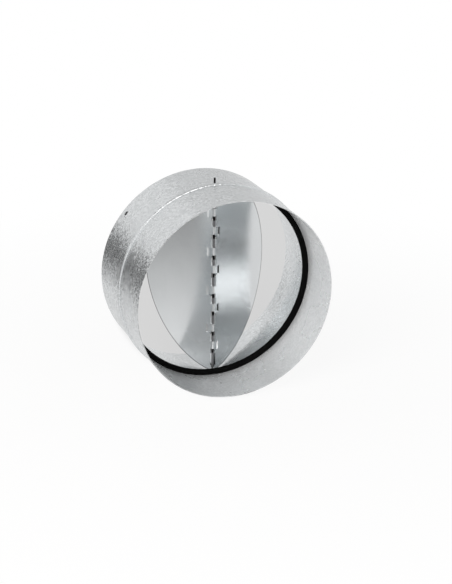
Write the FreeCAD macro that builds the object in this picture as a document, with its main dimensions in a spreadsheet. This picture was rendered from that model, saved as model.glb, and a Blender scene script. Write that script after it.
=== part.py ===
"""Duct backdraft damper: a round sleeve with a seal ring, a hinge rod, two sprung half-round blades.

Millimetres. The origin is the centre of the front rim, +Y runs along the duct from front to rear,
+X is to the right and +Z up. The blades swing about the upright rod and fold to the rear.
"""

import FreeCAD
import Part
import Sketcher
import math
import os

# Driving sizes, in millimetres and degrees
SIZES = [
    ("casing_diameter", 159.2),
    ("casing_length", 88.0),
    ("casing_wall", 0.6),
    ("bead_position", 44.0),
    ("bead_radius", 1.8),
    ("fixing_hole_diameter", 3.8),
    ("fixing_hole_setback", 6.8),
    ("fixing_hole_angle", 140.0),
    ("rivet_gap", 0.03),
    ("rivet_sink", 0.08),
    ("rivet_head_diameter", 5.6),
    ("rivet_head_height", 0.8),
    ("rivet_seat_gap", 0.12),
    ("seal_lead", 1.55),
    ("seal_height", 4.25),
    ("seal_seat_gap", 0.05),
    ("seal_blade_gap", 0.3),
    ("hinge_setback", 4.7),
    ("rod_diameter", 1.6),
    ("rod_stub", 4.0),
    ("rod_end_chamfer", 0.25),
    ("rod_hole_gap", 0.03),
    ("collar_height", 0.3),
    ("collar_end_gap", 0.15),
    ("ear_width", 2.4),
    ("ear_thickness", 1.0),
    ("ear_length", 1.1),
    ("ear_gap", 0.3),
    ("blade_sheet", 0.5),
    ("blade_wall_gap", 1.0),
    ("blade_edge_gap", 0.1),
    ("blade_corner_drop", 3.0),
    ("blade_corner_width", 2.5),
    ("left_blade_angle", 66.7),
    ("right_blade_angle", 38.9),
    ("knuckle_gap", 0.05),
    ("knuckle_length", 6.3),
    ("knuckle_pitch", 32.2),
    ("knuckle_stagger", 7.45),
    ("knuckle_relief", 3.7),
    ("relief_depth", 1.0),
    ("knuckle_end_gap", 0.3),
    ("knuckle_tail_angle", 5.0),
    ("lip_height", 1.2),
    ("lip_end_gap", 1.75),
    ("notch_gap", 0.2),
    ("hollow_reach", 6.4),
    ("hollow_height", 7.0),
    ("hollow_wall", 1.0),
    ("hollow_depth", 1.0),
    ("spring_wire", 0.7),
    ("spring_rod_gap", 0.2),
    ("spring_turns", 7),
    ("spring_turn_gap", 0.05),
    ("spring_leg", 20.0),
    ("spring_blade_gap", 0.05),
    ("spring_window_gap", 2.5),
]

# Sizes worked out from the driving ones
WORKED_OUT = [
    ("casing_radius", "sizes.casing_diameter / 2"),
    ("casing_inner_radius", "casing_radius - sizes.casing_wall"),
    ("groove_radius", "sizes.bead_radius - sizes.casing_wall"),
    ("fixing_hole_position", "sizes.casing_length - sizes.fixing_hole_setback"),
    ("fixing_hole_radius", "sizes.fixing_hole_diameter / 2"),
    ("rivet_radius", "fixing_hole_radius - sizes.rivet_gap"),
    ("rivet_head_radius", "sizes.rivet_head_diameter / 2"),
    ("rivet_head_top", "casing_inner_radius - sizes.rivet_seat_gap"),
    ("rivet_head_foot", "rivet_head_top - sizes.rivet_head_height"),
    ("rivet_shank", "sizes.casing_wall + sizes.rivet_seat_gap - sizes.rivet_sink"),
    ("hinge_position", "sizes.bead_position + sizes.hinge_setback"),
    ("rod_radius", "sizes.rod_diameter / 2"),
    ("rod_hole_radius", "rod_radius + sizes.rod_hole_gap"),
    ("rod_half_length", "casing_radius + sizes.rod_stub"),
    ("rod_end_radius", "rod_radius - sizes.rod_end_chamfer"),
    ("rod_shoulder", "rod_half_length - sizes.rod_end_chamfer"),
    ("ear_position", "casing_radius + sizes.ear_gap"),
    ("ear_half_width", "(sizes.ear_width - sizes.ear_thickness) / 2"),
    ("ear_half_thickness", "sizes.ear_thickness / 2"),
    ("knuckle_bore_radius", "rod_radius + sizes.knuckle_gap"),
    ("knuckle_radius", "knuckle_bore_radius + sizes.blade_sheet"),
    ("knuckle_root", "sizes.blade_edge_gap + sizes.blade_sheet"),
    ("right_knuckle_start", "sizes.knuckle_stagger - 1.5 * sizes.knuckle_pitch"),
    ("left_knuckle_start", "-sizes.knuckle_stagger - 1.5 * sizes.knuckle_pitch"),
    ("knuckle_run", "3 * sizes.knuckle_pitch"),
    ("relief_drop", "sizes.knuckle_length / 2 + sizes.knuckle_relief"),
    ("collar_radius", "rod_radius + sizes.collar_height"),
    ("collar_length", "sizes.knuckle_relief - 2 * sizes.collar_end_gap"),
    ("collar_drop", "(sizes.knuckle_length + sizes.knuckle_relief) / 2"),
    ("notch_drop", "(sizes.knuckle_relief - sizes.knuckle_end_gap) / 2"),
    ("notch_half_span", "(sizes.knuckle_length + sizes.knuckle_relief + sizes.knuckle_end_gap) / 2"),
    ("hollow_floor_end", "sizes.hollow_reach - sizes.hollow_wall"),
    ("bulge_height", "sizes.hollow_height + 2 * sizes.blade_sheet"),
    ("notch_edge", "knuckle_radius + sizes.notch_gap"),
    ("notch_width", "2 * notch_edge"),
    ("notch_height", "2 * notch_half_span"),
    ("lip_run", "sizes.lip_height + sizes.blade_sheet"),
    ("lip_length", "2 * (casing_inner_radius - sizes.seal_height - sizes.lip_end_gap)"),
    ("blade_radius", "casing_inner_radius - sizes.blade_wall_gap"),
    ("blade_edge_end", "blade_radius - sizes.blade_corner_drop"),
    ("seal_outer_radius", "casing_inner_radius - sizes.seal_seat_gap"),
    ("seal_rib_radius", "groove_radius - sizes.seal_seat_gap"),
    ("seal_front", "sizes.bead_position - sizes.seal_lead"),
    ("seal_rear", "hinge_position - knuckle_radius - sizes.seal_blade_gap"),
    ("seal_nose_radius", "(seal_rear - seal_front) / 2"),
    ("seal_nose_centre", "casing_inner_radius - sizes.seal_height + seal_nose_radius"),
    ("spring_radius", "rod_radius + sizes.spring_rod_gap + sizes.spring_wire / 2"),
    ("spring_pitch", "sizes.spring_wire + sizes.spring_turn_gap"),
    ("top_knuckle_end", "sizes.knuckle_stagger + 1.5 * sizes.knuckle_pitch + sizes.knuckle_length / 2"),
    ("spring_window_start", "top_knuckle_end + sizes.spring_window_gap"),
    ("spring_window_height", "(sizes.spring_turns + 2) * spring_pitch + 2 * sizes.spring_wire"),
    ("spring_window_depth", "spring_radius + sizes.spring_wire / 2 + sizes.notch_gap"),
]

KNUCKLES_PER_BLADE = 4

document = FreeCAD.newDocument("backdraft_damper")


def fill_sheets():
    """Put the driving sizes in one sheet and what follows from them in another."""
    driving = document.addObject("Spreadsheet::Sheet", "sizes")
    for row, (name, size) in enumerate(SIZES, 1):
        driving.set(f"A{row}", name)
        driving.set(f"B{row}", str(size))
        driving.setAlias(f"B{row}", name)
    document.recompute()
    derived = document.addObject("Spreadsheet::Sheet", "worked")
    for row, (name, formula) in enumerate(WORKED_OUT, 1):
        derived.set(f"A{row}", name)
        derived.setAlias(f"B{row}", name)
        derived.set(f"B{row}", "=" + formula)
        document.recompute()
    return driving, derived


sizes, worked = fill_sheets()
DRIVING_NAMES = {name for name, size in SIZES}


def cell(name):
    """The expression that reads a named size."""
    return f"sizes.{name}" if name in DRIVING_NAMES else f"worked.{name}"


def number(name):
    """The present value of a named size."""
    sheet = sizes if name in DRIVING_NAMES else worked
    return float(sheet.get(name))


def new_body(name):
    body = document.addObject("PartDesign::Body", name)
    body.Label = name
    return body


def origin_feature(body, role):
    """One of the body's own base planes or axes."""
    return next(f for f in body.Origin.OriginFeatures if f.Role == role)


def new_sketch(body, name, plane, across=None, up=None, out=None):
    """A sketch on one of the body's base planes, shifted across, up and out of the plane by formulas."""
    sketch = body.newObject("Sketcher::SketchObject", name)
    sketch.AttachmentSupport = [(origin_feature(body, plane), "")]
    sketch.MapMode = "FlatFace"
    for direction, formula in (("x", across), ("y", up), ("z", out)):
        if formula:
            sketch.setExpression(f"AttachmentOffset.Base.{direction}", formula)
    return sketch


def dimension(sketch, kind, where, name):
    """Add a dimension to a sketch and tie it to a named size."""
    value = number(name)
    if kind == "Angle":
        value = math.radians(value)
    index = sketch.addConstraint(Sketcher.Constraint(kind, *where, value))
    unit = " * 1 deg" if kind == "Angle" else ""
    sketch.setExpression(f"Constraints[{index}]", cell(name) + unit)


def place_point(sketch, geometry, point, across, up):
    """Tie one point of a sketch to two named distances from the sketch's origin."""
    dimension(sketch, "DistanceX", (-1, 1, geometry, point), across)
    dimension(sketch, "DistanceY", (-1, 1, geometry, point), up)


def line(sketch, start, end):
    edge = Part.LineSegment(FreeCAD.Vector(*start, 0), FreeCAD.Vector(*end, 0))
    return sketch.addGeometry(edge, False)


def arc(sketch, centre, radius, start_deg, end_deg):
    circle = Part.Circle(FreeCAD.Vector(*centre, 0), FreeCAD.Vector(0, 0, 1), radius)
    edge = Part.ArcOfCircle(circle, math.radians(start_deg), math.radians(end_deg))
    return sketch.addGeometry(edge, False)


def join(sketch, *pairs):
    """Make pairs of end points meet."""
    for first, first_end, second, second_end in pairs:
        sketch.addConstraint(Sketcher.Constraint("Coincident", first, first_end, second, second_end))


def level(sketch, *edges):
    for edge in edges:
        sketch.addConstraint(Sketcher.Constraint("Horizontal", edge))


def upright(sketch, *edges):
    for edge in edges:
        sketch.addConstraint(Sketcher.Constraint("Vertical", edge))


def rectangle(sketch, width, height):
    """A rectangle with one corner at the sketch's origin."""
    across = number(width)
    high = number(height)
    base = line(sketch, (0, 0), (across, 0))
    right = line(sketch, (across, 0), (across, high))
    top = line(sketch, (across, high), (0, high))
    left = line(sketch, (0, high), (0, 0))
    join(sketch, (base, 2, right, 1), (right, 2, top, 1), (top, 2, left, 1), (left, 2, base, 1))
    join(sketch, (base, 1, -1, 1))
    level(sketch, base, top)
    upright(sketch, right, left)
    place_point(sketch, right, 2, width, height)


def circle_at(sketch, radius, up=None):
    """A round outline on the sketch's upright axis."""
    centre = FreeCAD.Vector(0, number(up) if up else 0, 0)
    ring = sketch.addGeometry(Part.Circle(centre, FreeCAD.Vector(0, 0, 1), number(radius)), False)
    if up:
        sketch.addConstraint(Sketcher.Constraint("PointOnObject", ring, 3, -2))
        dimension(sketch, "DistanceY", (-1, 1, ring, 3), up)
    else:
        join(sketch, (ring, 3, -1, 1))
    dimension(sketch, "Radius", (ring,), radius)


def revolve(body, sketch, name, axis):
    turn = body.newObject("PartDesign::Revolution", name)
    turn.Profile = sketch
    turn.ReferenceAxis = (sketch, [axis])
    turn.Angle = 360
    document.recompute()
    return turn


def pad(body, sketch, name, length, symmetric=False):
    block = body.newObject("PartDesign::Pad", name)
    block.Profile = sketch
    block.setExpression("Length", cell(length))
    if symmetric:
        block.SideType = "Symmetric"
    document.recompute()
    return block


def cut_through(body, sketch, name, both_ways=True):
    """Cut a sketch's outline right through the body, both ways or along the sketch's normal only."""
    before = body.Shape.Volume
    cut = body.newObject("PartDesign::Pocket", name)
    cut.Profile = sketch
    cut.Type = "ThroughAll"
    if both_ways:
        cut.SideType = "Symmetric"
    else:
        cut.Reversed = True
    document.recompute()
    if cut.Shape.Volume >= before:
        raise RuntimeError(f"{name} cuts nothing")
    return cut


def cut_slice(body, sketch, name, length):
    """Cut a sketch's outline over a named length, half of it to each side of the sketch."""
    before = body.Shape.Volume
    cut = body.newObject("PartDesign::Pocket", name)
    cut.Profile = sketch
    cut.setExpression("Length", cell(length))
    cut.SideType = "Symmetric"
    document.recompute()
    if cut.Shape.Volume >= before:
        raise RuntimeError(f"{name} cuts nothing")
    return cut


def repeat_along_rod(body, name, *features):
    """Repeat features once for each knuckle of a blade."""
    row = body.newObject("PartDesign::LinearPattern", name)
    row.Originals = list(features)
    row.Direction = (origin_feature(body, "Z_Axis"), [""])
    row.Occurrences = KNUCKLES_PER_BLADE
    row.setExpression("Length", cell("knuckle_run"))
    body.Tip = row
    document.recompute()
    return row


def fixing_hole_sketch(body, name, height=None):
    """A sketch square to the fixing hole, at a named distance from the duct's axis."""
    sketch = new_sketch(body, name, "XY_Plane")
    turn = FreeCAD.Rotation(FreeCAD.Vector(0, -1, 0), 45)
    sketch.AttachmentOffset = FreeCAD.Placement(FreeCAD.Vector(), turn)
    lean = "(sizes.fixing_hole_angle - 90)"
    sketch.setExpression("AttachmentOffset.Rotation.Angle", lean)
    if height:
        sketch.setExpression("AttachmentOffset.Base.x", f"-{cell(height)} * sin({lean} * 1 deg)")
        sketch.setExpression("AttachmentOffset.Base.z", f"{cell(height)} * cos({lean} * 1 deg)")
    return sketch


def make_casing():
    """The rolled sleeve: a thin wall turned round the duct's axis, with the bead, then its holes."""
    body = new_body("casing")
    wall = new_sketch(body, "casing_section", "YZ_Plane")
    outer = number("casing_radius")
    inner = number("casing_inner_radius")
    length = number("casing_length")
    bead = number("bead_position")
    bead_radius = number("bead_radius")
    groove = number("groove_radius")
    reach = math.sqrt(bead_radius**2 - number("casing_wall") ** 2)
    lean = math.degrees(math.asin(number("casing_wall") / bead_radius))
    front_rim = line(wall, (0, inner), (0, outer))
    front_outside = line(wall, (0, outer), (bead - reach, outer))
    crest = arc(wall, (bead, inner), bead_radius, lean, 180 - lean)
    rear_outside = line(wall, (bead + reach, outer), (length, outer))
    rear_rim = line(wall, (length, outer), (length, inner))
    rear_inside = line(wall, (length, inner), (bead + groove, inner))
    hollow = arc(wall, (bead, inner), groove, 0, 180)
    front_inside = line(wall, (bead - groove, inner), (0, inner))
    join(
        wall,
        (front_rim, 2, front_outside, 1),
        (front_outside, 2, crest, 2),
        (crest, 1, rear_outside, 1),
        (rear_outside, 2, rear_rim, 1),
        (rear_rim, 2, rear_inside, 1),
        (rear_inside, 2, hollow, 1),
        (hollow, 2, front_inside, 1),
        (front_inside, 2, front_rim, 1),
        (crest, 3, hollow, 3),
    )
    level(wall, front_outside, rear_outside, rear_inside, front_inside)
    upright(wall, front_rim, rear_rim)
    wall.addConstraint(Sketcher.Constraint("PointOnObject", front_rim, 1, -2))
    dimension(wall, "DistanceY", (-1, 1, front_rim, 1), "casing_inner_radius")
    dimension(wall, "DistanceY", (-1, 1, front_rim, 2), "casing_radius")
    place_point(wall, rear_rim, 1, "casing_length", "casing_radius")
    place_point(wall, hollow, 3, "bead_position", "casing_inner_radius")
    dimension(wall, "Radius", (crest,), "bead_radius")
    dimension(wall, "Radius", (hollow,), "groove_radius")
    revolve(body, wall, "casing_wall_turned", "H_Axis")

    rod_holes = new_sketch(body, "rod_holes", "XY_Plane")
    circle_at(rod_holes, "rod_hole_radius", "hinge_position")
    cut_through(body, rod_holes, "rod_holes_cut")

    fixing_hole = fixing_hole_sketch(body, "fixing_hole")
    circle_at(fixing_hole, "fixing_hole_radius", "fixing_hole_position")
    cut_through(body, fixing_hole, "fixing_hole_cut", both_ways=False)
    return body


def make_rivet():
    """The flush rivet in the fixing hole: a head inside the casing and a shank through its wall."""
    body = new_body("rivet")
    head = fixing_hole_sketch(body, "rivet_head", "rivet_head_foot")
    circle_at(head, "rivet_head_radius", "fixing_hole_position")
    pad(body, head, "rivet_head_pad", "rivet_head_height")
    shank = fixing_hole_sketch(body, "rivet_shank", "rivet_head_top")
    circle_at(shank, "rivet_radius", "fixing_hole_position")
    pad(body, shank, "rivet_shank_pad", "rivet_shank")
    return body


def make_seal_ring():
    """The rubber ring: a round-nosed strip against the wall, with a rib in the bead's hollow."""
    body = new_body("seal_ring")
    section = new_sketch(body, "seal_section", "YZ_Plane")
    front = number("seal_front")
    rear = number("seal_rear")
    foot = number("seal_outer_radius")
    nose_radius = number("seal_nose_radius")
    nose_centre = number("seal_nose_centre")
    bead = number("bead_position")
    rib = number("seal_rib_radius")
    front_side = line(section, (front, foot), (front, nose_centre))
    nose = arc(section, (front + nose_radius, nose_centre), nose_radius, 180, 360)
    rear_side = line(section, (rear, nose_centre), (rear, foot))
    rear_foot = line(section, (rear, foot), (bead + rib, foot))
    rib_arc = arc(section, (bead, foot), rib, 0, 180)
    front_foot = line(section, (bead - rib, foot), (front, foot))
    join(
        section,
        (rear_side, 2, rear_foot, 1),
        (rear_foot, 2, rib_arc, 1),
        (rib_arc, 2, front_foot, 1),
        (front_foot, 2, front_side, 1),
    )
    section.addConstraint(Sketcher.Constraint("Tangent", front_side, 2, nose, 1))
    section.addConstraint(Sketcher.Constraint("Tangent", nose, 2, rear_side, 1))
    level(section, rear_foot, front_foot)
    upright(section, front_side, rear_side)
    place_point(section, front_side, 1, "seal_front", "seal_outer_radius")
    place_point(section, rear_side, 2, "seal_rear", "seal_outer_radius")
    place_point(section, rib_arc, 3, "bead_position", "seal_outer_radius")
    dimension(section, "Radius", (rib_arc,), "seal_rib_radius")
    dimension(section, "DistanceY", (-1, 1, nose, 3), "seal_nose_centre")
    revolve(body, section, "seal_turned", "H_Axis")
    return body


def make_hinge_rod():
    """The rod across the casing, with ears staked out of its ends and a collar under each knuckle."""
    body = new_body("hinge_rod")
    half = new_sketch(body, "rod_half_section", "XZ_Plane")
    radius = number("rod_radius")
    end = number("rod_half_length")
    shoulder = number("rod_shoulder")
    tip = number("rod_end_radius")
    base = line(half, (0, 0), (radius, 0))
    side = line(half, (radius, 0), (radius, shoulder))
    chamfer = line(half, (radius, shoulder), (tip, end))
    top = line(half, (tip, end), (0, end))
    core = line(half, (0, end), (0, 0))
    join(half, (base, 2, side, 1), (side, 2, chamfer, 1), (chamfer, 2, top, 1), (top, 2, core, 1))
    join(half, (core, 2, base, 1), (base, 1, -1, 1))
    level(half, base, top)
    upright(half, side, core)
    place_point(half, side, 2, "rod_radius", "rod_shoulder")
    place_point(half, chamfer, 2, "rod_end_radius", "rod_half_length")
    upper = revolve(body, half, "rod_upper_half", "V_Axis")

    ears = new_sketch(body, "ear_outline", "XY_Plane", out=cell("ear_position"))
    reach = number("ear_half_width")
    thick = number("ear_half_thickness")
    rear = arc(ears, (0, reach), thick, 0, 180)
    left = line(ears, (-thick, reach), (-thick, -reach))
    front = arc(ears, (0, -reach), thick, 180, 360)
    right = line(ears, (thick, -reach), (thick, reach))
    for first, first_end, second, second_end in (
        (rear, 2, left, 1),
        (left, 2, front, 1),
        (front, 2, right, 1),
        (right, 2, rear, 1),
    ):
        ears.addConstraint(Sketcher.Constraint("Tangent", first, first_end, second, second_end))
    ears.addConstraint(Sketcher.Constraint("Symmetric", rear, 3, front, 3, -1, 1))
    ears.addConstraint(Sketcher.Constraint("PointOnObject", rear, 3, -2))
    dimension(ears, "DistanceY", (-1, 1, rear, 3), "ear_half_width")
    dimension(ears, "Radius", (rear,), "ear_half_thickness")
    ear_pad = pad(body, ears, "ears_staked", "ear_length")

    both = body.newObject("PartDesign::Mirrored", "rod_lower_half")
    both.Originals = [upper, ear_pad]
    both.MirrorPlane = (origin_feature(body, "XY_Plane"), [""])
    body.Tip = both
    document.recompute()

    for side in ("right", "left"):
        middle = f"{cell(side + '_knuckle_start')} - {cell('collar_drop')}"
        collar = new_sketch(body, side + "_collar", "XY_Plane", out=middle)
        circle_at(collar, "collar_radius")
        collar_pad = pad(body, collar, side + "_collar_pad", "collar_length", symmetric=True)
        repeat_along_rod(body, side + "_collars", collar_pad)
    body.setExpression("Placement.Base.y", cell("hinge_position"))
    return body


def hollow_outline(sketch):
    """Section of a pressed hollow, from the rod's axis outward: a flat floor and a sloping outer wall."""
    mouth_end = number("hollow_reach")
    floor_end = number("hollow_floor_end")
    depth = number("hollow_depth")
    mouth = line(sketch, (0, 0), (mouth_end, 0))
    wall = line(sketch, (mouth_end, 0), (floor_end, depth))
    floor = line(sketch, (floor_end, depth), (0, depth))
    inner = line(sketch, (0, depth), (0, 0))
    join(sketch, (mouth, 2, wall, 1), (wall, 2, floor, 1), (floor, 2, inner, 1), (inner, 2, mouth, 1))
    join(sketch, (mouth, 1, -1, 1))
    level(sketch, mouth, floor)
    upright(sketch, inner)
    dimension(sketch, "DistanceX", (-1, 1, wall, 1), "hollow_reach")
    place_point(sketch, wall, 2, "hollow_floor_end", "hollow_depth")


def make_blade(name, own_start, other_start):
    """A closed blade that reaches to +X of the rod's axis.

    The sheet lies in front of the rod, with a lip turned to the front along its hinge edge. Tabs
    roll round the rod as knuckles. The edge is cut back for the other blade's knuckles, beside
    pressed hollows.
    """
    body = new_body(name)
    bore = cell("knuckle_bore_radius")

    outline = new_sketch(body, name + "_outline", "XZ_Plane", out=bore)
    radius = number("blade_radius")
    edge = number("blade_edge_gap")
    edge_end = number("blade_edge_end")
    corner = number("blade_corner_width")
    corner_up = math.sqrt(radius**2 - corner**2)
    corner_angle = math.degrees(math.atan2(corner_up, corner))
    hinge_edge = line(outline, (edge, edge_end), (edge, -edge_end))
    lower_corner = line(outline, (edge, -edge_end), (corner, -corner_up))
    rim = arc(outline, (0, 0), radius, -corner_angle, corner_angle)
    upper_corner = line(outline, (corner, corner_up), (edge, edge_end))
    join(outline, (hinge_edge, 2, lower_corner, 1), (lower_corner, 2, rim, 1))
    join(outline, (rim, 2, upper_corner, 1), (upper_corner, 2, hinge_edge, 1), (rim, 3, -1, 1))
    outline.addConstraint(Sketcher.Constraint("Symmetric", hinge_edge, 1, hinge_edge, 2, -1))
    outline.addConstraint(Sketcher.Constraint("Symmetric", rim, 1, rim, 2, -1))
    place_point(outline, hinge_edge, 1, "blade_edge_gap", "blade_edge_end")
    dimension(outline, "DistanceX", (-1, 1, rim, 2), "blade_corner_width")
    dimension(outline, "Radius", (rim,), "blade_radius")
    pad(body, outline, name + "_sheet", "blade_sheet")

    lip_place = f"-{cell('knuckle_radius')} - {cell('lip_height')}"
    lip = new_sketch(body, name + "_lip", "XY_Plane", across=cell("blade_edge_gap"), up=lip_place)
    rectangle(lip, "blade_sheet", "lip_run")
    pad(body, lip, name + "_lip_pad", "lip_length", symmetric=True)

    notch_middle = f"{cell(other_start)} - {cell('notch_drop')}"
    bulge = new_sketch(body, name + "_bulge", "XY_Plane", up=f"-{bore}", out=notch_middle)
    hollow_outline(bulge)
    bulge_pad = pad(body, bulge, name + "_bulge_pad", "bulge_height", symmetric=True)
    front_face = f"-{cell('knuckle_radius')}"
    hollow = new_sketch(body, name + "_hollow", "XY_Plane", up=front_face, out=notch_middle)
    hollow_outline(hollow)
    hollow_cut = cut_slice(body, hollow, name + "_hollow_cut", "hollow_height")
    repeat_along_rod(body, name + "_hollows", bulge_pad, hollow_cut)

    notch_left = f"-{cell('notch_edge')}"
    notch_base = f"{notch_middle} - {cell('notch_half_span')}"
    notch = new_sketch(body, name + "_notch", "XZ_Plane", across=notch_left, up=notch_base)
    rectangle(notch, "notch_width", "notch_height")
    notch_cut = cut_through(body, notch, name + "_notch_cut")
    repeat_along_rod(body, name + "_notches", notch_cut)

    relief = new_sketch(body, name + "_relief", "XZ_Plane", up=f"{cell(own_start)} - {cell('relief_drop')}")
    rectangle(relief, "relief_depth", "knuckle_relief")
    relief_cut = cut_through(body, relief, name + "_relief_cut")
    repeat_along_rod(body, name + "_reliefs", relief_cut)

    tab_base = f"{cell(own_start)} - {cell('knuckle_length')} / 2"
    tab = new_sketch(body, name + "_tab", "XZ_Plane", up=tab_base)
    rectangle(tab, "knuckle_root", "knuckle_length")
    tab_cut = cut_through(body, tab, name + "_tab_cut")
    repeat_along_rod(body, name + "_tabs", tab_cut)

    window = new_sketch(body, name + "_spring_window", "XZ_Plane", up=cell("spring_window_start"))
    rectangle(window, "spring_window_depth", "spring_window_height")
    cut_through(body, window, name + "_spring_window_cut")

    roll = new_sketch(body, name + "_roll", "XY_Plane", out=cell(own_start))
    inside = number("knuckle_bore_radius")
    outside = number("knuckle_radius")
    root = number("knuckle_root")
    tail = number("knuckle_tail_angle")
    tail_way = (math.cos(math.radians(tail)), -math.sin(math.radians(tail)))
    outer_roll = arc(roll, (0, 0), outside, -tail, 270)
    front_face = line(roll, (0, -outside), (root, -outside))
    root_face = line(roll, (root, -outside), (root, -inside))
    rear_face = line(roll, (root, -inside), (0, -inside))
    inner_roll = arc(roll, (0, 0), inside, -tail, 270)
    tail_face = line(roll, [inside * c for c in tail_way], [outside * c for c in tail_way])
    join(
        roll,
        (outer_roll, 3, -1, 1),
        (inner_roll, 3, -1, 1),
        (outer_roll, 2, front_face, 1),
        (front_face, 2, root_face, 1),
        (root_face, 2, rear_face, 1),
        (rear_face, 2, inner_roll, 2),
        (inner_roll, 1, tail_face, 1),
        (tail_face, 2, outer_roll, 1),
    )
    level(roll, front_face, rear_face)
    upright(roll, root_face)
    roll.addConstraint(Sketcher.Constraint("PointOnObject", front_face, 1, -2))
    roll.addConstraint(Sketcher.Constraint("PointOnObject", rear_face, 2, -2))
    dimension(roll, "DistanceX", (-1, 1, root_face, 1), "knuckle_root")
    dimension(roll, "Radius", (outer_roll,), "knuckle_radius")
    dimension(roll, "Radius", (inner_roll,), "knuckle_bore_radius")
    roll.addConstraint(Sketcher.Constraint("PointOnObject", -1, 1, tail_face))
    dimension(roll, "Angle", (tail_face, 1, -1, 1), "knuckle_tail_angle")
    knuckle = pad(body, roll, name + "_knuckle", "knuckle_length", symmetric=True)
    repeat_along_rod(body, name + "_knuckles", knuckle)
    return body


def swing(blade, axis, angle):
    """Open a closed blade about the rod and put it at the rod's place."""
    blade.Placement = FreeCAD.Placement(FreeCAD.Vector(), FreeCAD.Rotation(axis, 45))
    blade.setExpression("Placement.Rotation.Angle", cell(angle))
    blade.setExpression("Placement.Base.y", cell("hinge_position"))


def make_blades():
    """The right blade, and the left one, which is handed and has its knuckles between the right one's."""
    right = make_blade("right_blade", "right_knuckle_start", "left_knuckle_start")
    swing(right, FreeCAD.Vector(0, 0, 1), "right_blade_angle")
    blank = make_blade("left_blade_blank", "left_knuckle_start", "right_knuckle_start")
    left = document.addObject("Part::Mirroring", "left_blade")
    left.Label = "left_blade"
    left.Source = blank
    left.Normal = FreeCAD.Vector(1, 0, 0)
    swing(left, FreeCAD.Vector(0, 0, -1), "left_blade_angle")
    return left, right


def spring_leg(outward, front, start_height, rise):
    """Where a leg leaves the coil behind the rod, and the way it runs to the back of its blade.

    outward and front are the blade's own directions. The leg crosses from the coil's rear side
    to the blade's back face at its tip.
    """
    radius = number("spring_radius")
    wire = number("spring_wire")
    face = number("knuckle_bore_radius") - wire / 2 - number("spring_blade_gap")
    lean = math.asin((face + radius) / number("spring_leg"))
    way = outward * math.cos(lean) + front * math.sin(lean)
    side = front * math.cos(lean) - outward * math.sin(lean)
    start = side * -radius
    start.z = start_height
    way.z = rise
    way.normalize()
    return start, way


def make_closing_spring():
    """A torsion spring: a close coil round the rod, with one straight leg behind each blade."""
    radius = number("spring_radius")
    wire = number("spring_wire")
    pitch = number("spring_pitch")
    length = number("spring_leg")
    left = math.radians(number("left_blade_angle"))
    right = math.radians(number("right_blade_angle"))
    slope = pitch / (2 * math.pi * radius)
    bottom = number("spring_window_start") + pitch + wire

    right_out = FreeCAD.Vector(math.cos(right), math.sin(right), 0)
    right_front = FreeCAD.Vector(math.sin(right), -math.cos(right), 0)
    left_out = FreeCAD.Vector(-math.cos(left), math.sin(left), 0)
    left_front = FreeCAD.Vector(-math.sin(left), -math.cos(left), 0)
    right_start, right_way = spring_leg(right_out, right_front, bottom, -slope)
    left_start, left_way = spring_leg(left_out, left_front, bottom, slope)

    start_angle = math.atan2(right_start.y, right_start.x)
    end_angle = math.atan2(left_start.y, left_start.x)
    sweep = 2 * math.pi * number("spring_turns") + end_angle - start_angle
    height = pitch * sweep / (2 * math.pi)
    left_start.z = bottom + height

    path = Part.makeHelix(pitch, height, radius)
    path.rotate(FreeCAD.Vector(), FreeCAD.Vector(0, 0, 1), math.degrees(start_angle))
    path.translate(FreeCAD.Vector(0, 0, bottom))
    section = Part.Wire(Part.makeCircle(wire / 2, right_start, right_way))
    coil = Part.Wire(path.Edges).makePipeShell([section], True, True)
    right_leg = Part.makeCylinder(wire / 2, length, right_start, right_way)
    left_leg = Part.makeCylinder(wire / 2, length, left_start, left_way)
    spring = document.addObject("Part::Feature", "closing_spring")
    spring.Label = "closing_spring"
    spring.Shape = coil.multiFuse([right_leg, left_leg]).removeSplitter()
    spring.setExpression("Placement.Base.y", cell("hinge_position"))
    return spring


def check(parts):
    """Stop if any object failed to build, or a piece isn't one valid solid."""
    for item in document.Objects:
        if "Invalid" in item.State or "Error" in item.State:
            raise RuntimeError(f"{item.Name} failed: {item.State}")
    for piece in parts:
        if piece.Shape.isNull() or not piece.Shape.isValid() or len(piece.Shape.Solids) != 1:
            raise RuntimeError(f"{piece.Label} is not one valid solid")


def write(parts):
    os.makedirs("parts", exist_ok=True)
    for piece in parts:
        piece.Shape.exportStep(f"parts/{piece.Label}.step")


pieces = [make_casing(), make_rivet(), make_seal_ring(), make_hinge_rod(), *make_blades(), make_closing_spring()]
document.recompute()
check(pieces)
write(pieces)
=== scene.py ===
"""Looks of the duct backdraft damper: sheet-metal finishes, the wire spring, studio and camera.

Metres, in the same frame as the solids: the origin is the centre of the front rim, +Y runs along
the duct from front to rear, +X is to the right and +Z up.
"""

import math

import bpy
from mathutils import Matrix, Vector


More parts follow.
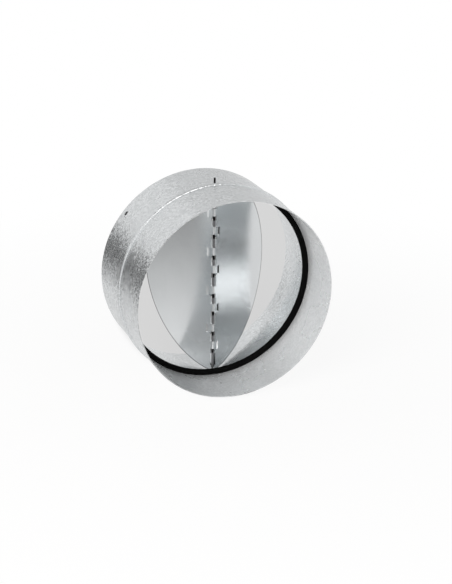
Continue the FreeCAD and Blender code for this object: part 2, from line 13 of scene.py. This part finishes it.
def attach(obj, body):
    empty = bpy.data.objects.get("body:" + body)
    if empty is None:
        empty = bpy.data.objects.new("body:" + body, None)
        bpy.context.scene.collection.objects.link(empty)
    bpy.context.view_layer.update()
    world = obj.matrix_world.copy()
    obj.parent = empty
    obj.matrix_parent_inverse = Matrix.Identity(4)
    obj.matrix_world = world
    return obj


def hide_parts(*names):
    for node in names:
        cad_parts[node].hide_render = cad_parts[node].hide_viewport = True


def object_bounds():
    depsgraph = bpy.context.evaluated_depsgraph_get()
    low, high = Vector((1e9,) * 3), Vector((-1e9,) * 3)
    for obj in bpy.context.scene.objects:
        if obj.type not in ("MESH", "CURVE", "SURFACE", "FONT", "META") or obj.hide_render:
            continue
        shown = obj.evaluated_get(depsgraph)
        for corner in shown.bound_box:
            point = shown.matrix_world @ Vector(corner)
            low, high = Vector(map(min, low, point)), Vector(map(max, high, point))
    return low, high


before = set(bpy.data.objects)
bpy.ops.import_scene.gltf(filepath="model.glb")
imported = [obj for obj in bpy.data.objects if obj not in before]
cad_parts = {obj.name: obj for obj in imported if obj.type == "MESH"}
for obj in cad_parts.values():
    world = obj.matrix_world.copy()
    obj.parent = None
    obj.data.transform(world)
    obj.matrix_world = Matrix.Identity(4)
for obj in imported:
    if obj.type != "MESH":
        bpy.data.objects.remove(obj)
SOLID_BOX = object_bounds()

# Where the hinge rod stands, how far each blade is open, and the sizes that the finishes follow
HINGE = Vector((0.0, 0.0487, 0.0))
LEFT_BLADE_OPEN = math.radians(66.7)
RIGHT_BLADE_OPEN = math.radians(38.9)
BLADE_RADIUS = 0.078
CASING_INNER_RADIUS = 0.079
SEAL_FRONT = 0.0425
ROD_RADIUS = 0.0008

# The axes along which a distance is counted
ALL_WAYS = (1.0, 1.0, 1.0)
ACROSS_DUCT = (1.0, 0.0, 1.0)
ALONG_DUCT = (0.0, 1.0, 0.0)
LEVEL = (1.0, 1.0, 0.0)
UPRIGHT = (0.0, 0.0, 1.0)
FRONT_CENTRE = (0.0, 0.0, 0.0)

# The closing spring: close coil round the rod, one leg behind each blade
SPRING_WIRE_RADIUS = 0.00035
SPRING_COIL_RADIUS = 0.00135
SPRING_PITCH = 0.00075
SPRING_BOTTOM = 0.06285
SPRING_TURNS = 6
SPRING_LEVEL_TURNS = 1.0
SPRING_LEG = 0.020
SPRING_LEG_LEAN = math.radians(25.0)
SPRING_BEND = 0.001
BLADE_BACK_FROM_AXIS = 0.00085
LEG_TO_BLADE_GAP = 0.00005

# The photograph's viewpoint, found from the rims and blades in it
VIEW_AZIMUTH = math.radians(-21.51)
VIEW_ELEVATION = math.radians(20.93)
VIEW_ROLL = math.radians(0.73)
VIEW_DISTANCE = 1.281
VIEW_FOCAL_PIXELS = 1629.4
IMAGE_WIDTH = 452
HINGE_LEFT_OF_CENTRE = 12.57
HINGE_ABOVE_CENTRE = 12.62
SENSOR_WIDTH = 36.0

# The floor, its painted shadow (a light grey patch behind the casing that only the camera sees), and
# where its real shadow and a faint painted shade fade out
FLOOR = SOLID_BOX[0][2]
FLOOR_REACH = 4.0
FLOOR_MATT = (0.95, 0.95, 0.95, 1.0)
PAINTED_SHADOW_CENTRE = (0.093, 0.290, 0.0)
PAINTED_SHADOW_SIZE = (0.270, 0.100, 1.0)
PAINTED_SHADOW_TURN = math.atan2(0.925, 0.38)
PAINTED_SHADOW_EDGE = 0.12
PAINTED_SHADOW_TONE = (0.675, 0.675, 0.675)
SHADOW_FULL = 0.10
SHADOW_GONE = 0.45
GLOW_IN_SHADOW = 0.90

# How bright the surround is where metal mirrors it, how much it lights matt surfaces, and the lamps' tint
MIRRORED_SURROUND = 0.78
SURROUND_LIGHT = 0.4
LAMP_COLOUR = (1.0, 0.96, 0.94)


# Small helpers for node trees


def add_node(tree, kind, **settings):
    node = tree.nodes.new(kind)
    for name, value in settings.items():
        setattr(node, name, value)
    return node


def set_inputs(node, **values):
    """Set a node's inputs by name, with spaces written as underscores."""
    for name, value in values.items():
        node.inputs[name.replace("_", " ")].default_value = value
    return node


def map_range(tree, value, low, high):
    """Spread a 0 to 1 value over a range."""
    spread = add_node(tree, "ShaderNodeMapRange")
    tree.links.new(value, spread.inputs["Value"])
    spread.inputs["To Min"].default_value = low
    spread.inputs["To Max"].default_value = high
    return spread.outputs["Result"]


def mix_colours(tree, factor, first, second):
    blend = add_node(tree, "ShaderNodeMix", data_type="RGBA")
    tree.links.new(factor, blend.inputs["Factor"])
    blend.inputs["A"].default_value = (*first, 1.0)
    blend.inputs["B"].default_value = (*second, 1.0)
    return blend.outputs["Result"]


def new_group(name, inputs, outputs):
    """A shader node group with number inputs, each with its default, and number outputs."""
    group = bpy.data.node_groups.new(name, "ShaderNodeTree")
    for socket, default in inputs.items():
        made = group.interface.new_socket(socket, in_out="INPUT", socket_type="NodeSocketFloat")
        made.default_value = default
    for socket in outputs:
        group.interface.new_socket(socket, in_out="OUTPUT", socket_type="NodeSocketFloat")
    entry = add_node(group, "NodeGroupInput")
    leave = add_node(group, "NodeGroupOutput")
    place = add_node(group, "ShaderNodeTexCoord")
    return group, entry, leave, place.outputs["Object"]


def use_group(tree, group, **values):
    node = add_node(tree, "ShaderNodeGroup", node_tree=group)
    return set_inputs(node, **values)


# Effects that several finishes share


def make_spangle():
    """Zinc crystals: flat patches, each with its own shade and its own slight tilt."""
    outputs = ["Shade", "Height"]
    group, entry, leave, place = new_group("zinc_spangle", {"Patches per metre": 400.0}, outputs)
    cells = add_node(group, "ShaderNodeTexVoronoi", feature="F1")
    group.links.new(place, cells.inputs["Vector"])
    group.links.new(entry.outputs["Patches per metre"], cells.inputs["Scale"])
    shade = add_node(group, "ShaderNodeSeparateColor")
    group.links.new(cells.outputs["Color"], shade.inputs["Color"])
    group.links.new(shade.outputs["Red"], leave.inputs["Shade"])
    away = add_node(group, "ShaderNodeVectorMath", operation="SUBTRACT")
    group.links.new(place, away.inputs[0])
    group.links.new(cells.outputs["Position"], away.inputs[1])
    tilt = add_node(group, "ShaderNodeVectorMath", operation="SUBTRACT")
    group.links.new(cells.outputs["Color"], tilt.inputs[0])
    tilt.inputs[1].default_value = (0.5, 0.5, 0.5)
    height = add_node(group, "ShaderNodeVectorMath", operation="DOT_PRODUCT")
    group.links.new(away.outputs["Vector"], height.inputs[0])
    group.links.new(tilt.outputs["Vector"], height.inputs[1])
    group.links.new(height.outputs["Value"], leave.inputs["Height"])
    return group


def make_grain():
    """Fine even grain."""
    group, entry, leave, place = new_group("fine_grain", {"Grains per metre": 2500.0}, ["Grain"])
    noise = add_node(group, "ShaderNodeTexNoise")
    set_inputs(noise, Detail=3.0, Roughness=0.6)
    group.links.new(place, noise.inputs["Vector"])
    group.links.new(entry.outputs["Grains per metre"], noise.inputs["Scale"])
    group.links.new(noise.outputs["Fac"], leave.inputs["Grain"])
    return group


def make_rolling_lines():
    """Long level lines that the rolling mill leaves in a sheet."""
    group, entry, leave, place = new_group("rolling_lines", {"Lines per metre": 3000.0}, ["Line"])
    stretch = add_node(group, "ShaderNodeMapping")
    long_and_level = (0.02, 0.02, 1.0)
    stretch.inputs["Scale"].default_value = long_and_level
    group.links.new(place, stretch.inputs["Vector"])
    noise = add_node(group, "ShaderNodeTexNoise")
    set_inputs(noise, Detail=4.0, Roughness=0.65)
    group.links.new(stretch.outputs["Vector"], noise.inputs["Vector"])
    group.links.new(entry.outputs["Lines per metre"], noise.inputs["Scale"])
    group.links.new(noise.outputs["Fac"], leave.inputs["Line"])
    return group


def make_clouding():
    """Broad soft patches, as handling and storage leave on bare metal."""
    group, entry, leave, place = new_group("clouding", {"Patches per metre": 30.0}, ["Cloud"])
    noise = add_node(group, "ShaderNodeTexNoise")
    set_inputs(noise, Detail=5.0, Roughness=0.55)
    group.links.new(place, noise.inputs["Vector"])
    group.links.new(entry.outputs["Patches per metre"], noise.inputs["Scale"])
    group.links.new(noise.outputs["Fac"], leave.inputs["Cloud"])
    return group


SPANGLE = make_spangle()
GRAIN = make_grain()
ROLLING_LINES = make_rolling_lines()
CLOUDING = make_clouding()


# Finishes


def new_finish(name):
    material = bpy.data.materials.new(name)
    material.use_nodes = True
    tree = material.node_tree
    shader = tree.nodes["Principled BSDF"]
    return material, tree, shader


def add_bump(tree, shader, height, strength, distance):
    bump = add_node(tree, "ShaderNodeBump")
    set_inputs(bump, Strength=strength, Distance=distance)
    tree.links.new(height, bump.inputs["Height"])
    tree.links.new(bump.outputs["Normal"], shader.inputs["Normal"])


def beyond(tree, centre, axes, start, end):
    """0 within one distance of a point and 1 beyond another, counted along the given axes only."""
    place = add_node(tree, "ShaderNodeTexCoord")
    away = add_node(tree, "ShaderNodeVectorMath", operation="SUBTRACT")
    tree.links.new(place.outputs["Object"], away.inputs[0])
    away.inputs[1].default_value = centre
    counted = add_node(tree, "ShaderNodeVectorMath", operation="MULTIPLY")
    tree.links.new(away.outputs["Vector"], counted.inputs[0])
    counted.inputs[1].default_value = axes
    distance = add_node(tree, "ShaderNodeVectorMath", operation="LENGTH")
    tree.links.new(counted.outputs["Vector"], distance.inputs[0])
    step = add_node(tree, "ShaderNodeMapRange")
    set_inputs(step, From_Min=start, From_Max=end)
    tree.links.new(distance.outputs["Value"], step.inputs["Value"])
    return step.outputs["Result"]


def galvanised_sheet():
    """Zinc-coated steel: pale grey with a fine crystal speckle, duller inside in front of the seal."""
    material, tree, shader = new_finish("galvanised_sheet")
    spangle = use_group(tree, SPANGLE, Patches_per_metre=850.0)
    grain = use_group(tree, GRAIN, Grains_per_metre=1100.0)
    cloud = use_group(tree, CLOUDING, Patches_per_metre=22.0)
    grain_share = 0.35
    speckle = add_node(tree, "ShaderNodeMix", data_type="FLOAT")
    speckle.inputs["Factor"].default_value = grain_share
    tree.links.new(spangle.outputs["Shade"], speckle.inputs["A"])
    tree.links.new(grain.outputs["Grain"], speckle.inputs["B"])
    dark_zinc = (0.71, 0.73, 0.74)
    light_zinc = (0.97, 0.99, 1.0)
    colour = mix_colours(tree, speckle.outputs["Result"], dark_zinc, light_zinc)
    tree.links.new(colour, shader.inputs["Base Color"])
    inner_skin = CASING_INNER_RADIUS + 0.0001
    outer_skin = CASING_INNER_RADIUS + 0.0003
    outside = beyond(tree, FRONT_CENTRE, ACROSS_DUCT, inner_skin, outer_skin)
    behind = beyond(tree, FRONT_CENTRE, ALONG_DUCT, SEAL_FRONT, SEAL_FRONT + 0.002)
    bright = add_node(tree, "ShaderNodeMath", operation="MAXIMUM")
    tree.links.new(outside, bright.inputs[0])
    tree.links.new(behind, bright.inputs[1])
    tree.links.new(map_range(tree, bright.outputs["Value"], 0.5, 1.0), shader.inputs["Metallic"])
    tree.links.new(map_range(tree, cloud.outputs["Cloud"], 0.22, 0.32), shader.inputs["Roughness"])
    relief = add_node(tree, "ShaderNodeMath", operation="MULTIPLY")
    tree.links.new(spangle.outputs["Height"], relief.inputs[0])
    tree.links.new(map_range(tree, outside, 0.35, 1.0), relief.inputs[1])
    add_bump(tree, shader, relief.outputs["Value"], 1.0, 0.24)
    return material


def rolled_aluminium():
    """Bright rolled sheet: a soft mirror, with painted shade along its round rim."""
    material, tree, shader = new_finish("rolled_aluminium")
    shader.inputs["Metallic"].default_value = 1.0
    lines = use_group(tree, ROLLING_LINES, Lines_per_metre=6000.0)
    cloud = use_group(tree, CLOUDING, Patches_per_metre=40.0)
    dull_sheet = (0.77, 0.79, 0.80)
    bright_sheet = (0.87, 0.89, 0.90)
    painted_rim_shade = (0.16, 0.16, 0.165, 1.0)
    sheen = mix_colours(tree, cloud.outputs["Cloud"], dull_sheet, bright_sheet)
    # painted shade: the outer rim of each blade is painted dark, standing in for the shade and dark
    # reflection along it
    edge = beyond(tree, tuple(HINGE), ALL_WAYS, BLADE_RADIUS - 0.0009, BLADE_RADIUS - 0.0004)
    tint = add_node(tree, "ShaderNodeMix", data_type="RGBA")
    tree.links.new(edge, tint.inputs["Factor"])
    tree.links.new(sheen, tint.inputs["A"])
    tint.inputs["B"].default_value = painted_rim_shade
    tree.links.new(tint.outputs["Result"], shader.inputs["Base Color"])
    tree.links.new(map_range(tree, cloud.outputs["Cloud"], 0.14, 0.22), shader.inputs["Roughness"])
    add_bump(tree, shader, lines.outputs["Line"], 0.2, 0.0001)
    return material


def black_rubber():
    """Matt black sealing rubber."""
    material, tree, shader = new_finish("black_rubber")
    shader.inputs["Specular IOR Level"].default_value = 0.04
    grain = use_group(tree, GRAIN, Grains_per_metre=1800.0)
    colour = mix_colours(tree, grain.outputs["Grain"], (0.001, 0.001, 0.001), (0.004, 0.004, 0.004))
    tree.links.new(colour, shader.inputs["Base Color"])
    tree.links.new(map_range(tree, grain.outputs["Grain"], 0.5, 0.75), shader.inputs["Roughness"])
    add_bump(tree, shader, grain.outputs["Grain"], 0.2, 0.0002)
    return material


def dark_rod_steel():
    """Grey steel rod, dark at its ends, with its collars painted black as painted shade under the
    knuckles.
    """
    material, tree, shader = new_finish("dark_rod_steel")
    shader.inputs["Metallic"].default_value = 0.8
    grain = use_group(tree, GRAIN, Grains_per_metre=3000.0)
    collar_shade_and_end_black = (0.006, 0.006, 0.006, 1.0)
    skin = mix_colours(tree, grain.outputs["Grain"], (0.14, 0.14, 0.145), (0.28, 0.28, 0.285))
    # painted shade: the collars in the gaps under the knuckles are painted black for the shade there; the
    # same black makes the rod's ends dark
    collar = beyond(tree, tuple(HINGE), LEVEL, ROD_RADIUS + 0.0001, ROD_RADIUS + 0.00015)
    end = beyond(tree, tuple(HINGE), UPRIGHT, CASING_INNER_RADIUS, CASING_INNER_RADIUS + 0.0005)
    black = add_node(tree, "ShaderNodeMath", operation="MAXIMUM")
    tree.links.new(collar, black.inputs[0])
    tree.links.new(end, black.inputs[1])
    tint = add_node(tree, "ShaderNodeMix", data_type="RGBA")
    tree.links.new(black.outputs["Value"], tint.inputs["Factor"])
    tree.links.new(skin, tint.inputs["A"])
    tint.inputs["B"].default_value = collar_shade_and_end_black
    tree.links.new(tint.outputs["Result"], shader.inputs["Base Color"])
    tree.links.new(map_range(tree, grain.outputs["Grain"], 0.35, 0.6), shader.inputs["Roughness"])
    add_bump(tree, shader, grain.outputs["Grain"], 0.2, 0.0001)
    return material


def rivet_steel():
    """Dark rivet."""
    material, tree, shader = new_finish("rivet_steel")
    shader.inputs["Metallic"].default_value = 0.8
    grain = use_group(tree, GRAIN, Grains_per_metre=3000.0)
    colour = mix_colours(tree, grain.outputs["Grain"], (0.03, 0.03, 0.032), (0.10, 0.10, 0.105))
    tree.links.new(colour, shader.inputs["Base Color"])
    tree.links.new(map_range(tree, grain.outputs["Grain"], 0.4, 0.6), shader.inputs["Roughness"])
    add_bump(tree, shader, grain.outputs["Grain"], 0.2, 0.0001)
    return material


def spring_wire():
    """Drawn steel wire."""
    material, tree, shader = new_finish("spring_wire")
    shader.inputs["Metallic"].default_value = 1.0
    grain = use_group(tree, GRAIN, Grains_per_metre=6000.0)
    colour = mix_colours(tree, grain.outputs["Grain"], (0.30, 0.30, 0.31), (0.52, 0.52, 0.53))
    tree.links.new(colour, shader.inputs["Base Color"])
    tree.links.new(map_range(tree, grain.outputs["Grain"], 0.2, 0.4), shader.inputs["Roughness"])
    add_bump(tree, shader, grain.outputs["Grain"], 0.1, 0.00005)
    return material


def dress(node, material):
    """Give a solid its finish."""
    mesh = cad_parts[node].data
    mesh.materials.clear()
    mesh.materials.append(material)


SPRING_WIRE = spring_wire()
dress("casing", galvanised_sheet())
dress("seal_ring", black_rubber())
dress("hinge_rod", dark_rod_steel())
dress("rivet", rivet_steel())
BLADE_FINISH = rolled_aluminium()
dress("left_blade", BLADE_FINISH)
dress("right_blade", BLADE_FINISH)


# The wire spring, in three pieces, because each leg swings with its blade


def wire_tree():
    """A round wire along a curve, as a plain mesh of one finish."""
    tree = bpy.data.node_groups.new("wire_along_curve", "GeometryNodeTree")
    for name, kind, side in (
        ("Curve", "NodeSocketGeometry", "INPUT"),
        ("Wire radius", "NodeSocketFloat", "INPUT"),
        ("Finish", "NodeSocketMaterial", "INPUT"),
        ("Wire", "NodeSocketGeometry", "OUTPUT"),
    ):
        tree.interface.new_socket(name, in_out=side, socket_type=kind)
    entry = add_node(tree, "NodeGroupInput")
    leave = add_node(tree, "NodeGroupOutput")
    section = add_node(tree, "GeometryNodeCurvePrimitiveCircle")
    section.inputs["Resolution"].default_value = 16
    tree.links.new(entry.outputs["Wire radius"], section.inputs["Radius"])
    wire = add_node(tree, "GeometryNodeCurveToMesh")
    wire.inputs["Fill Caps"].default_value = True
    tree.links.new(entry.outputs["Curve"], wire.inputs["Curve"])
    tree.links.new(section.outputs["Curve"], wire.inputs["Profile Curve"])
    smooth = add_node(tree, "GeometryNodeSetShadeSmooth")
    tree.links.new(wire.outputs["Mesh"], smooth.inputs["Geometry"])
    real = add_node(tree, "GeometryNodeRealizeInstances")
    tree.links.new(smooth.outputs["Geometry"], real.inputs["Geometry"])
    finish = add_node(tree, "GeometryNodeSetMaterial")
    tree.links.new(real.outputs["Geometry"], finish.inputs["Geometry"])
    tree.links.new(entry.outputs["Finish"], finish.inputs["Material"])
    tree.links.new(finish.outputs["Geometry"], leave.inputs["Wire"])
    return tree


WIRE_TREE = wire_tree()


def make_wire(name, points, body):
    """A wire through the points, riding on a body."""
    curve = bpy.data.curves.new(name + "_line", "CURVE")
    curve.dimensions = "3D"
    run = curve.splines.new("POLY")
    run.points.add(len(points) - 1)
    for point, place in zip(run.points, points):
        point.co = (*place, 1.0)
    line = bpy.data.objects.new(name + "_line", curve)
    bpy.context.scene.collection.objects.link(line)
    winding = line.modifiers.new("wire", "NODES")
    winding.node_group = WIRE_TREE
    values = {"Wire radius": SPRING_WIRE_RADIUS, "Finish": SPRING_WIRE}
    for item in WIRE_TREE.interface.items_tree:
        if item.name in values:
            winding[item.identifier] = values[item.name]
    bpy.context.view_layer.update()
    ready = line.evaluated_get(bpy.context.evaluated_depsgraph_get())
    mesh = bpy.data.meshes.new_from_object(ready)
    mesh.name = name
    bpy.data.objects.remove(line)
    bpy.data.curves.remove(curve)
    wire = bpy.data.objects.new(name, mesh)
    bpy.context.scene.collection.objects.link(wire)
    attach(wire, body)
    return wire


def coil_points():
    """A close coil whose first and last turns lie level."""
    steps_per_turn = 40
    turns = SPRING_TURNS + 2 * SPRING_LEVEL_TURNS
    points = []
    for step in range(int(turns * steps_per_turn) + 1):
        turn = step / steps_per_turn
        angle = 2 * math.pi * turn
        rise = min(max(turn - SPRING_LEVEL_TURNS, 0.0), SPRING_TURNS) * SPRING_PITCH
        along = Vector((math.cos(angle), math.sin(angle), 0.0)) * SPRING_COIL_RADIUS
        points.append(HINGE + along + Vector((0.0, 0.0, SPRING_BOTTOM + rise)))
    return points


def leg_points(outward, front, height):
    """A leg that leaves the coil's rear side, bends and lies along the back of its blade."""
    way = outward * math.cos(SPRING_LEG_LEAN) + front * math.sin(SPRING_LEG_LEAN)
    side = front * math.cos(SPRING_LEG_LEAN) - outward * math.sin(SPRING_LEG_LEAN)
    start = HINGE - side * SPRING_COIL_RADIUS + Vector((0.0, 0.0, height))
    behind_face = BLADE_BACK_FROM_AXIS - SPRING_WIRE_RADIUS - LEG_TO_BLADE_GAP
    rise = behind_face + SPRING_COIL_RADIUS * math.cos(SPRING_LEG_LEAN)
    corner = start + way * rise / math.sin(SPRING_LEG_LEAN)
    end = corner + outward * (SPRING_LEG - (corner - HINGE).dot(outward))
    points = [start]
    steps = 6
    for step in range(steps + 1):
        share = step / steps
        first = corner - way * SPRING_BEND * (1.0 - share)
        second = corner + outward * SPRING_BEND * share
        points.append(first.lerp(second, share))
    return points + [end]


def make_spring():
    coil = make_wire("spring_coil", coil_points(), "casing")
    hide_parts("closing_spring")
    left_out = Vector((-math.cos(LEFT_BLADE_OPEN), math.sin(LEFT_BLADE_OPEN), 0.0))
    left_front = Vector((-math.sin(LEFT_BLADE_OPEN), -math.cos(LEFT_BLADE_OPEN), 0.0))
    right_out = Vector((math.cos(RIGHT_BLADE_OPEN), math.sin(RIGHT_BLADE_OPEN), 0.0))
    right_front = Vector((math.sin(RIGHT_BLADE_OPEN), -math.cos(RIGHT_BLADE_OPEN), 0.0))
    top = SPRING_BOTTOM + SPRING_TURNS * SPRING_PITCH
    make_wire("spring_left_leg", leg_points(left_out, left_front, top), "left_blade")
    make_wire("spring_right_leg", leg_points(right_out, right_front, SPRING_BOTTOM), "right_blade")


make_spring()


# Studio


def seen_rays(tree):
    """Which rays see the surround itself, and the brightness that they meet.

    The first value is 1 on rays from the camera, off a shiny surface or through something clear.
    """
    path = add_node(tree, "ShaderNodeLightPath")
    seen = path.outputs["Is Camera Ray"]
    for ray in ("Is Glossy Ray", "Is Transmission Ray"):
        either = add_node(tree, "ShaderNodeMath", operation="MAXIMUM")
        tree.links.new(seen, either.inputs[0])
        tree.links.new(path.outputs[ray], either.inputs[1])
        seen = either.outputs["Value"]
    return seen, map_range(tree, path.outputs["Is Camera Ray"], MIRRORED_SURROUND, 1.0)


def make_floor():
    """A wide white floor with a painted shadow, light grey where it lies behind the casing, and a faint
    real shadow near the hinge.
    """
    corners = [
        (-FLOOR_REACH, -FLOOR_REACH, FLOOR),
        (FLOOR_REACH, -FLOOR_REACH, FLOOR),
        (FLOOR_REACH, FLOOR_REACH, FLOOR),
        (-FLOOR_REACH, FLOOR_REACH, FLOOR),
    ]
    mesh = bpy.data.meshes.new("floor")
    mesh.from_pydata(corners, [], [(0, 1, 2, 3)])
    floor = bpy.data.objects.new("floor", mesh)
    bpy.context.scene.collection.objects.link(floor)
    material = bpy.data.materials.new("pale_floor")
    material.use_nodes = True
    tree = material.node_tree
    tree.nodes.clear()
    place = add_node(tree, "ShaderNodeTexCoord")
    # painted shadow: a soft light grey patch on the floor behind the casing, for camera rays only
    patch = add_node(tree, "ShaderNodeMapping", vector_type="TEXTURE")
    turn = (0.0, 0.0, PAINTED_SHADOW_TURN)
    set_inputs(patch, Location=PAINTED_SHADOW_CENTRE, Rotation=turn, Scale=PAINTED_SHADOW_SIZE)
    tree.links.new(place.outputs["Object"], patch.inputs["Vector"])
    fall = add_node(tree, "ShaderNodeTexGradient", gradient_type="SPHERICAL")
    tree.links.new(patch.outputs["Vector"], fall.inputs["Vector"])
    inside = add_node(tree, "ShaderNodeMapRange", interpolation_type="SMOOTHSTEP")
    set_inputs(inside, From_Min=0.0, From_Max=PAINTED_SHADOW_EDGE)
    tree.links.new(fall.outputs["Fac"], inside.inputs["Value"])
    path = add_node(tree, "ShaderNodeLightPath")
    shown = add_node(tree, "ShaderNodeMath", operation="MULTIPLY")
    tree.links.new(inside.outputs["Result"], shown.inputs[0])
    tree.links.new(path.outputs["Is Camera Ray"], shown.inputs[1])
    tone = mix_colours(tree, shown.outputs["Value"], (1.0, 1.0, 1.0), PAINTED_SHADOW_TONE)
    matt = set_inputs(add_node(tree, "ShaderNodeBsdfDiffuse"), Color=FLOOR_MATT)
    glow = add_node(tree, "ShaderNodeEmission")
    seen, brightness = seen_rays(tree)
    tree.links.new(tone, glow.inputs["Color"])
    tree.links.new(brightness, glow.inputs["Strength"])
    # near the hinge the glow gives way to the matt floor, which shows the real shadow and is a little
    # dimmer, a faint painted shade
    afar = beyond(tree, tuple(HINGE), LEVEL, SHADOW_FULL, SHADOW_GONE)
    share = add_node(tree, "ShaderNodeMath", operation="MULTIPLY")
    tree.links.new(seen, share.inputs[0])
    tree.links.new(map_range(tree, afar, GLOW_IN_SHADOW, 1.0), share.inputs[1])
    both = add_node(tree, "ShaderNodeMixShader")
    tree.links.new(share.outputs["Value"], both.inputs["Fac"])
    tree.links.new(matt.outputs["BSDF"], both.inputs[1])
    tree.links.new(glow.outputs["Emission"], both.inputs[2])
    output = add_node(tree, "ShaderNodeOutputMaterial")
    tree.links.new(both.outputs["Shader"], output.inputs["Surface"])
    mesh.materials.append(material)


def light_world():
    """A white surround, which lights matt surfaces less than it shows."""
    world = bpy.data.worlds.new("studio")
    bpy.context.scene.world = world
    world.use_nodes = True
    tree = world.node_tree
    surround = tree.nodes["Background"]
    surround.inputs["Color"].default_value = (1.0, 1.0, 1.0, 1.0)
    seen, brightness = seen_rays(tree)
    blend = add_node(tree, "ShaderNodeMix", data_type="FLOAT")
    blend.inputs["A"].default_value = SURROUND_LIGHT
    tree.links.new(seen, blend.inputs["Factor"])
    tree.links.new(brightness, blend.inputs["B"])
    tree.links.new(blend.outputs["Result"], surround.inputs["Strength"])


def look_at(place, target):
    """A pose at place, looking at target, with its top up."""
    return (Vector(target) - Vector(place)).to_track_quat("-Z", "Y")


def add_softbox(name, place, width, height, power, mirrored):
    """A soft lamp aimed at the hinge, which the metal mirrors or not."""
    lamp = bpy.data.lights.new(name, "AREA")
    lamp.shape = "RECTANGLE"
    lamp.size = width
    lamp.size_y = height
    lamp.energy = power
    lamp.color = LAMP_COLOUR
    box = bpy.data.objects.new(name, lamp)
    box.location = place
    box.rotation_mode = "QUATERNION"
    box.rotation_quaternion = look_at(place, HINGE)
    box.visible_glossy = mirrored
    bpy.context.scene.collection.objects.link(box)


def add_card(name, bearings, low_edge, high_edge, fade, near, far):
    """A card round the hinge that shows only in shiny surfaces.

    It runs from one bearing to another, counted from +Y towards -X. Each edge has its distance from
    the hinge and its height. The shade goes from near to far where the fade goes from 0 to 1.
    """
    steps = 24
    corners = []
    for step in range(steps + 1):
        bearing = math.radians(bearings[0] + (bearings[1] - bearings[0]) * step / steps)
        way = Vector((-math.sin(bearing), math.cos(bearing), 0.0))
        for distance, height in (low_edge, high_edge):
            corners.append(HINGE + way * distance + Vector((0.0, 0.0, height)))
    faces = [(2 * step, 2 * step + 2, 2 * step + 3, 2 * step + 1) for step in range(steps)]
    mesh = bpy.data.meshes.new(name)
    mesh.from_pydata(corners, [], faces)
    card = bpy.data.objects.new(name, mesh)
    bpy.context.scene.collection.objects.link(card)
    card.visible_camera = False
    card.visible_diffuse = False
    card.visible_shadow = False
    material = bpy.data.materials.new(name)
    material.use_nodes = True
    tree = material.node_tree
    tree.nodes.clear()
    glow = add_node(tree, "ShaderNodeEmission")
    shade = mix_colours(tree, beyond(tree, *fade), (near, near, near), (far, far, far))
    tree.links.new(shade, glow.inputs["Color"])
    output = add_node(tree, "ShaderNodeOutputMaterial")
    tree.links.new(glow.outputs["Emission"], output.inputs["Surface"])
    mesh.materials.append(material)


def add_cards():
    """The darker and brighter things round the part that its metal mirrors."""
    on_floor = FLOOR + 0.001
    by_height = ((0.0, 0.0, 0.008), UPRIGHT, 0.0, 0.06)
    by_distance = (tuple(HINGE), LEVEL, 0.08, 0.30)
    add_card(
        "screen_left",
        bearings=(22.0, 100.0),
        low_edge=(0.30, FLOOR),
        high_edge=(0.30, 0.062),
        fade=by_height,
        near=0.0,
        far=0.40,
    )
    add_card(
        "floor_left",
        bearings=(45.0, 95.0),
        low_edge=(0.085, on_floor),
        high_edge=(0.30, on_floor),
        fade=by_distance,
        near=0.82,
        far=0.48,
    )
    add_card(
        "screen_rear",
        bearings=(-45.0, 0.0),
        low_edge=(0.80, 0.08),
        high_edge=(0.80, 0.75),
        fade=by_height,
        near=0.62,
        far=0.62,
    )
    add_card(
        "bright_high_left",
        bearings=(112.0, 160.0),
        low_edge=(0.90, 0.45),
        high_edge=(0.50, 0.79),
        fade=by_height,
        near=1.0,
        far=1.0,
    )
    add_card(
        "ceiling",
        bearings=(0.0, 360.0),
        low_edge=(0.0, 0.80),
        high_edge=(0.60, 0.80),
        fade=by_height,
        near=0.48,
        far=0.48,
    )
    add_card(
        "floor_front_left",
        bearings=(146.0, 168.0),
        low_edge=(0.055, on_floor),
        high_edge=(0.60, on_floor),
        fade=by_distance,
        near=0.25,
        far=0.75,
    )
    add_card(
        "floor_front_right",
        bearings=(180.0, 200.0),
        low_edge=(0.055, on_floor),
        high_edge=(0.60, on_floor),
        fade=by_distance,
        near=0.02,
        far=0.02,
    )


def add_camera():
    """The photograph's viewpoint: the hinge's middle stands left of and above the picture's centre."""
    back = Vector(
        (
            math.sin(VIEW_AZIMUTH) * math.cos(VIEW_ELEVATION),
            -math.cos(VIEW_AZIMUTH) * math.cos(VIEW_ELEVATION),
            math.sin(VIEW_ELEVATION),
        )
    )
    level = Vector((math.cos(VIEW_AZIMUTH), math.sin(VIEW_AZIMUTH), 0.0))
    upward = back.cross(level)
    right = level * math.cos(VIEW_ROLL) + upward * math.sin(VIEW_ROLL)
    up = back.cross(right)
    pose = Matrix((right, up, back)).transposed().to_4x4()
    pose.translation = HINGE + back * VIEW_DISTANCE
    lens = bpy.data.cameras.new("camera")
    lens.sensor_fit = "HORIZONTAL"
    lens.sensor_width = SENSOR_WIDTH
    lens.lens = VIEW_FOCAL_PIXELS * SENSOR_WIDTH / IMAGE_WIDTH
    lens.shift_x = HINGE_LEFT_OF_CENTRE / IMAGE_WIDTH
    lens.shift_y = -HINGE_ABOVE_CENTRE / IMAGE_WIDTH
    camera = bpy.data.objects.new("camera", lens)
    camera.matrix_world = pose
    bpy.context.scene.collection.objects.link(camera)
    bpy.context.scene.camera = camera


make_floor()
light_world()
add_softbox("softbox_front", place=(-0.12, -1.26, 0.74), width=0.6, height=1.25, power=3.4, mirrored=True)
add_softbox("softbox_left", place=(-1.05, -0.75, 0.56), width=0.8, height=0.8, power=16.0, mirrored=False)
add_cards()
add_camera()
bpy.context.scene.view_settings.view_transform = "Standard"
